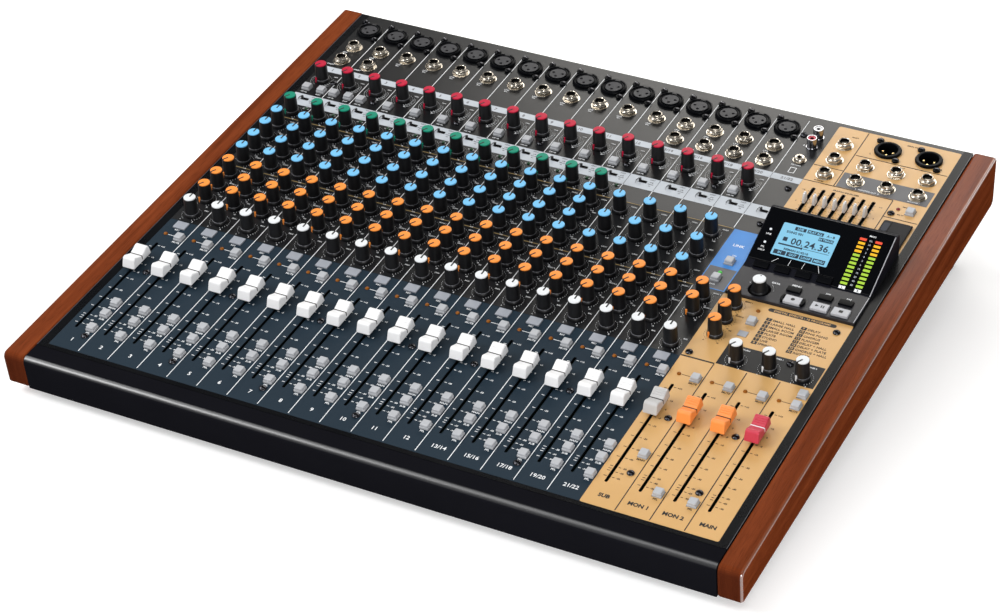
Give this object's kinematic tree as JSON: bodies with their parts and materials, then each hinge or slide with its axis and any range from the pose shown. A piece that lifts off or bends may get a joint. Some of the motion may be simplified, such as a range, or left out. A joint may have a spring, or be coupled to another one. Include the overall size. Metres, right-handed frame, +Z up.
{
  "type": "mixing console",
  "caption": "Tabletop audio mixing console with wooden end cheeks, channel strips of rotary knobs and long faders, rear sockets and a sloped display pod.",
  "frame": {"origin": "the middle of the outline, on the table under the feet", "axes": "+X to the right along the front rail, +Y away from the operator towards the sockets, +Z up"},
  "size_m": [0.576, 0.5066, 0.1025],
  "materials": {
    "wood": "reddish-brown oiled wood, satin",
    "deck_steel": "powder-coated steel, satin, with printed strips",
    "rail_metal": "charcoal paint, satin",
    "tray_steel": "black paint, fine texture",
    "control_plastic": "black knobs with coloured caps, on a circuit board",
    "button_plastic": "grey push buttons, on a circuit board",
    "socket_metal": "black socket housings with bright metal nuts and sleeves",
    "pod_plastic": "dark grey moulded plastic",
    "black_glass": "gloss black display window with a lit screen",
    "knob_red": "black knob with a red cap",
    "knob_green": "black knob with a green cap",
    "knob_blue": "black knob with a light blue cap",
    "knob_orange": "black knob with an orange cap",
    "knob_white": "black knob with a white cap",
    "cap_white": "satin white fader cap",
    "cap_grey": "satin grey fader cap",
    "cap_orange": "satin orange fader cap",
    "cap_red": "satin red fader cap",
    "key_plastic": "light grey keys",
    "black_plastic": "black moulded plastic",
    "rubber": "black rubber feet"
  },
  "bodies": {
    "desk": {"base_chassis": "tray_steel", "power_supply": "black_plastic", "top_panel": "deck_steel", "front_rail": "rail_metal", "left_cheek": "wood", "right_cheek": "wood", "mono_control_board": "control_plastic", "master_control_board": "control_plastic", "fader_board": "button_plastic", "connector_board": "socket_metal", "display_pod": "pod_plastic", "display_window": "black_glass", "foot_front_left": "rubber", "foot_front_right": "rubber", "foot_rear_left": "rubber", "foot_rear_right": "rubber"},
    "trim_knob_01": {"trim_knob_01": "knob_red"},
    "compressor_knob_01": {"compressor_knob_01": "knob_green"},
    "high_knob_01": {"high_knob_01": "knob_blue"},
    "mid_level_knob_01": {"mid_level_knob_01": "knob_blue"},
    "mid_sweep_knob_01": {"mid_sweep_knob_01": "knob_blue"},
    "low_knob_01": {"low_knob_01": "knob_blue"},
    "monitor_1_knob_01": {"monitor_1_knob_01": "knob_orange"},
    "monitor_2_knob_01": {"monitor_2_knob_01": "knob_orange"},
    "effect_send_knob_01": {"effect_send_knob_01": "knob_orange"},
    "pan_knob_01": {"pan_knob_01": "knob_white"},
    "fader_01": {"fader_01": "cap_white"},
    "fader_02": {"fader_02": "cap_white"},
    "fader_03": {"fader_03": "cap_white"},
    "fader_04": {"fader_04": "cap_white"},
    "fader_05": {"fader_05": "cap_white"},
    "fader_06": {"fader_06": "cap_white"},
    "fader_07": {"fader_07": "cap_white"},
    "fader_08": {"fader_08": "cap_white"},
    "fader_09": {"fader_09": "cap_white"},
    "fader_10": {"fader_10": "cap_white"},
    "fader_11": {"fader_11": "cap_white"},
    "fader_12": {"fader_12": "cap_white"},
    "fader_13": {"fader_13": "cap_white"},
    "fader_14": {"fader_14": "cap_white"},
    "fader_15": {"fader_15": "cap_white"},
    "fader_16": {"fader_16": "cap_white"},
    "fader_17": {"fader_17": "cap_white"},
    "fader_sub": {"fader_sub": "cap_grey"},
    "fader_monitor_1": {"fader_monitor_1": "cap_orange"},
    "fader_monitor_2": {"fader_monitor_2": "cap_orange"},
    "fader_main": {"fader_main": "cap_red"},
    "eq_slider_1": {"eq_slider_1": "cap_white"},
    "eq_slider_2": {"eq_slider_2": "cap_white"},
    "eq_slider_3": {"eq_slider_3": "cap_white"},
    "eq_slider_4": {"eq_slider_4": "cap_white"},
    "eq_slider_5": {"eq_slider_5": "cap_white"},
    "eq_slider_6": {"eq_slider_6": "cap_white"},
    "eq_slider_7": {"eq_slider_7": "cap_white"},
    "jog_dial": {"jog_dial": "black_plastic"},
    "record_key": {"record_key": "key_plastic"},
    "play_key": {"play_key": "key_plastic"},
    "stop_key": {"stop_key": "key_plastic"},
    "card_slot_cover": {"card_slot_cover": "pod_plastic"},
    "power_switch": {"power_switch": "black_plastic"}
  },
  "joints": [
    {"name": "trim_knob_01_turn", "type": "hinge", "parent": "desk", "child": "trim_knob_01", "pos_m": [-0.25, 0.1447, 0.08349], "axis": [0, 0.1191, -0.9929], "range_deg": [0, 300]},
    {"name": "compressor_knob_01_turn", "type": "hinge", "parent": "desk", "child": "compressor_knob_01", "pos_m": [-0.25, 0.09526, 0.07756], "axis": [0, 0.1191, -0.9929], "range_deg": [0, 300]},
    {"name": "high_knob_01_turn", "type": "hinge", "parent": "desk", "child": "high_knob_01", "pos_m": [-0.25, 0.0744, 0.07506], "axis": [0, 0.1191, -0.9929], "range_deg": [-150, 150]},
    {"name": "mid_level_knob_01_turn", "type": "hinge", "parent": "desk", "child": "mid_level_knob_01", "pos_m": [-0.25, 0.05653, 0.07291], "axis": [0, 0.1191, -0.9929], "range_deg": [-150, 150]},
    {"name": "mid_sweep_knob_01_turn", "type": "hinge", "parent": "desk", "child": "mid_sweep_knob_01", "pos_m": [-0.25, 0.03866, 0.07077], "axis": [0, 0.1191, -0.9929], "range_deg": [-150, 150]},
    {"name": "low_knob_01_turn", "type": "hinge", "parent": "desk", "child": "low_knob_01", "pos_m": [-0.25, 0.02079, 0.06863], "axis": [0, 0.1191, -0.9929], "range_deg": [-150, 150]},
    {"name": "monitor_1_knob_01_turn", "type": "hinge", "parent": "desk", "child": "monitor_1_knob_01", "pos_m": [-0.25, 0.00044, 0.06618], "axis": [0, 0.1191, -0.9929], "range_deg": [0, 300]},
    {"name": "monitor_2_knob_01_turn", "type": "hinge", "parent": "desk", "child": "monitor_2_knob_01", "pos_m": [-0.25, -0.01744, 0.06404], "axis": [0, 0.1191, -0.9929], "range_deg": [0, 300]},
    {"name": "effect_send_knob_01_turn", "type": "hinge", "parent": "desk", "child": "effect_send_knob_01", "pos_m": [-0.25, -0.03531, 0.06189], "axis": [0, 0.1191, -0.9929], "range_deg": [0, 300]},
    {"name": "pan_knob_01_turn", "type": "hinge", "parent": "desk", "child": "pan_knob_01", "pos_m": [-0.25, -0.05616, 0.05939], "axis": [0, 0.1191, -0.9929], "range_deg": [-150, 150]},
    {"name": "fader_01_slide", "type": "slide", "parent": "desk", "child": "fader_01", "axis": [0, 0.9929, 0.1191], "range_m": [-0.0775, 0.0225]},
    {"name": "fader_02_slide", "type": "slide", "parent": "desk", "child": "fader_02", "axis": [0, 0.9929, 0.1191], "range_m": [-0.0775, 0.0225]},
    {"name": "fader_03_slide", "type": "slide", "parent": "desk", "child": "fader_03", "axis": [0, 0.9929, 0.1191], "range_m": [-0.0775, 0.0225]},
    {"name": "fader_04_slide", "type": "slide", "parent": "desk", "child": "fader_04", "axis": [0, 0.9929, 0.1191], "range_m": [-0.0775, 0.0225]},
    {"name": "fader_05_slide", "type": "slide", "parent": "desk", "child": "fader_05", "axis": [0, 0.9929, 0.1191], "range_m": [-0.0775, 0.0225]},
    {"name": "fader_06_slide", "type": "slide", "parent": "desk", "child": "fader_06", "axis": [0, 0.9929, 0.1191], "range_m": [-0.0775, 0.0225]},
    {"name": "fader_07_slide", "type": "slide", "parent": "desk", "child": "fader_07", "axis": [0, 0.9929, 0.1191], "range_m": [-0.0775, 0.0225]},
    {"name": "fader_08_slide", "type": "slide", "parent": "desk", "child": "fader_08", "axis": [0, 0.9929, 0.1191], "range_m": [-0.0775, 0.0225]},
    {"name": "fader_09_slide", "type": "slide", "parent": "desk", "child": "fader_09", "axis": [0, 0.9929, 0.1191], "range_m": [-0.0775, 0.0225]},
    {"name": "fader_10_slide", "type": "slide", "parent": "desk", "child": "fader_10", "axis": [0, 0.9929, 0.1191], "range_m": [-0.0775, 0.0225]},
    {"name": "fader_11_slide", "type": "slide", "parent": "desk", "child": "fader_11", "axis": [0, 0.9929, 0.1191], "range_m": [-0.0775, 0.0225]},
    {"name": "fader_12_slide", "type": "slide", "parent": "desk", "child": "fader_12", "axis": [0, 0.9929, 0.1191], "range_m": [-0.0775, 0.0225]},
    {"name": "fader_13_slide", "type": "slide", "parent": "desk", "child": "fader_13", "axis": [0, 0.9929, 0.1191], "range_m": [-0.0775, 0.0225]},
    {"name": "fader_14_slide", "type": "slide", "parent": "desk", "child": "fader_14", "axis": [0, 0.9929, 0.1191], "range_m": [-0.0775, 0.0225]},
    {"name": "fader_15_slide", "type": "slide", "parent": "desk", "child": "fader_15", "axis": [0, 0.9929, 0.1191], "range_m": [-0.0775, 0.0225]},
    {"name": "fader_16_slide", "type": "slide", "parent": "desk", "child": "fader_16", "axis": [0, 0.9929, 0.1191], "range_m": [-0.0775, 0.0225]},
    {"name": "fader_17_slide", "type": "slide", "parent": "desk", "child": "fader_17", "axis": [0, 0.9929, 0.1191], "range_m": [-0.0775, 0.0225]},
    {"name": "fader_sub_slide", "type": "slide", "parent": "desk", "child": "fader_sub", "axis": [0, 0.9929, 0.1191], "range_m": [-0.0775, 0.0225]},
    {"name": "fader_monitor_1_slide", "type": "slide", "parent": "desk", "child": "fader_monitor_1", "axis": [0, 0.9929, 0.1191], "range_m": [-0.0775, 0.0225]},
    {"name": "fader_monitor_2_slide", "type": "slide", "parent": "desk", "child": "fader_monitor_2", "axis": [0, 0.9929, 0.1191], "range_m": [-0.0775, 0.0225]},
    {"name": "fader_main_slide", "type": "slide", "parent": "desk", "child": "fader_main", "axis": [0, 0.9929, 0.1191], "range_m": [-0.0775, 0.0225]},
    {"name": "eq_slider_1_slide", "type": "slide", "parent": "desk", "child": "eq_slider_1", "axis": [0, 0.9929, 0.1191], "range_m": [-0.015, 0.015]},
    {"name": "eq_slider_2_slide", "type": "slide", "parent": "desk", "child": "eq_slider_2", "axis": [0, 0.9929, 0.1191], "range_m": [-0.015, 0.015]},
    {"name": "eq_slider_3_slide", "type": "slide", "parent": "desk", "child": "eq_slider_3", "axis": [0, 0.9929, 0.1191], "range_m": [-0.015, 0.015]},
    {"name": "eq_slider_4_slide", "type": "slide", "parent": "desk", "child": "eq_slider_4", "axis": [0, 0.9929, 0.1191], "range_m": [-0.015, 0.015]},
    {"name": "eq_slider_5_slide", "type": "slide", "parent": "desk", "child": "eq_slider_5", "axis": [0, 0.9929, 0.1191], "range_m": [-0.015, 0.015]},
    {"name": "eq_slider_6_slide", "type": "slide", "parent": "desk", "child": "eq_slider_6", "axis": [0, 0.9929, 0.1191], "range_m": [-0.015, 0.015]},
    {"name": "eq_slider_7_slide", "type": "slide", "parent": "desk", "child": "eq_slider_7", "axis": [0, 0.9929, 0.1191], "range_m": [-0.015, 0.015]},
    {"name": "jog_dial_spin", "type": "hinge", "parent": "desk", "child": "jog_dial", "pos_m": [0.1851, 0.02258, 0.06884], "axis": [0, 0.1191, -0.9929], "continuous": true},
    {"name": "record_key_press", "type": "slide", "parent": "desk", "child": "record_key", "axis": [0, 0.1191, -0.9929], "range_m": [0, 0.0012], "stiffness_N_per_m": 400, "springref_m": -0.0003},
    {"name": "play_key_press", "type": "slide", "parent": "desk", "child": "play_key", "axis": [0, 0.1191, -0.9929], "range_m": [0, 0.0012], "stiffness_N_per_m": 400, "springref_m": -0.0003},
    {"name": "stop_key_press", "type": "slide", "parent": "desk", "child": "stop_key", "axis": [0, 0.1191, -0.9929], "range_m": [0, 0.0012], "stiffness_N_per_m": 400, "springref_m": -0.0003},
    {"name": "card_slot_cover_hinge", "type": "hinge", "parent": "desk", "child": "card_slot_cover", "pos_m": [0.2595, 0.12216, 0.0821], "axis": [0, 0.9929, 0.1191], "range_deg": [0, 100]},
    {"name": "power_switch_rock", "type": "hinge", "parent": "desk", "child": "power_switch", "pos_m": [-0.1405, 0.24541, 0.045], "axis": [1, 0, 0], "range_deg": [-14, 0]}
  ]
}
